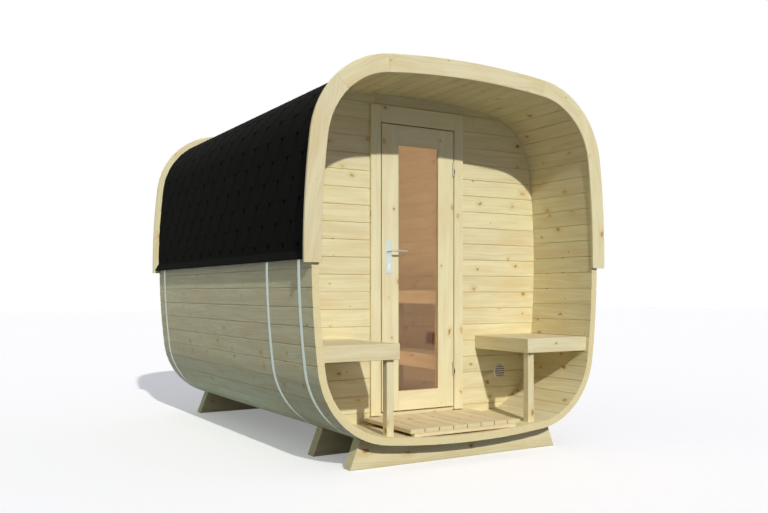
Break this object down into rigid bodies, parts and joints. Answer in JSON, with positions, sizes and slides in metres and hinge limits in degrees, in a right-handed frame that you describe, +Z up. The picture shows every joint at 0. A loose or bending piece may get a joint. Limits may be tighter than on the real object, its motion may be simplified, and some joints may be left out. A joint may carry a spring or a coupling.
{
  "type": "cube sauna",
  "caption": "Rounded-square barrel sauna of horizontal staves on timber cradles, with an open porch, benches, a glazed door, steel bands and a shingled roof.",
  "frame": {"origin": "on the ground at the middle of the overall box: below the crown of the roof, halfway between the two fascias", "axes": "+X to the right as one faces the porch from outside, -Y out of the porch at the front, +Z up"},
  "size_m": [2.248, 2.976, 2.422],
  "materials": {
    "spruce_timber": "planed, untreated",
    "cradle_timber": "planed, weathered",
    "bitumen_shingle": "mineral-coated bitumen felt",
    "band_steel": "satin",
    "satin_steel": "satin",
    "vent_grey": "satin",
    "stained_wood": "stained dark",
    "bronze_glass": "polished, bronze tint"
  },
  "bodies": {
    "sauna": {"shell_floor": "spruce_timber", "shell_left": "spruce_timber", "shell_right": "spruce_timber", "shell_ceiling": "spruce_timber", "corner_low_left": "spruce_timber", "corner_low_right": "spruce_timber", "corner_high_left": "spruce_timber", "corner_high_right": "spruce_timber", "roof_left": "bitumen_shingle", "roof_top": "bitumen_shingle", "roof_right": "bitumen_shingle", "drip_batten_left": "spruce_timber", "drip_batten_right": "spruce_timber", "fascia_front_left": "spruce_timber", "fascia_front_top": "spruce_timber", "fascia_front_right": "spruce_timber", "fascia_rear_left": "spruce_timber", "fascia_rear_top": "spruce_timber", "fascia_rear_right": "spruce_timber", "band_front": "band_steel", "band_middle": "band_steel", "band_rear": "band_steel", "cradle_front": "cradle_timber", "cradle_middle": "cradle_timber", "cradle_rear": "cradle_timber", "front_wall_left": "spruce_timber", "front_wall_right": "spruce_timber", "front_wall_head": "spruce_timber", "front_wall_sill": "spruce_timber", "rear_wall": "spruce_timber", "door_frame": "spruce_timber", "door_casing": "spruce_timber", "hinges_frame_half": "satin_steel", "bench_left_frame": "spruce_timber", "bench_left_seat": "spruce_timber", "bench_right_frame": "spruce_timber", "bench_right_seat": "spruce_timber", "duckboard": "spruce_timber", "wall_vent": "vent_grey", "room_bench_upper": "spruce_timber", "room_bench_lower": "spruce_timber", "room_vent": "stained_wood"},
    "door": {"door_leaf": "spruce_timber", "door_glass": "bronze_glass", "handle_plates": "satin_steel", "hinges_door_half": "satin_steel"},
    "lever": {"handle_lever": "satin_steel"}
  },
  "joints": [
    {"name": "door_hinge", "type": "hinge", "parent": "sauna", "child": "door", "pos_m": [0.2815, -0.9075, 1.185], "axis": [0, 0, 1], "range_deg": [0, 95]},
    {"name": "lever_turn", "type": "hinge", "parent": "door", "child": "lever", "pos_m": [-0.235, -0.881, 1.295], "axis": [0, 1, 0], "range_deg": [0, 40], "stiffness_Nm_per_rad": 1, "springref_deg": -20.05}
  ]
}
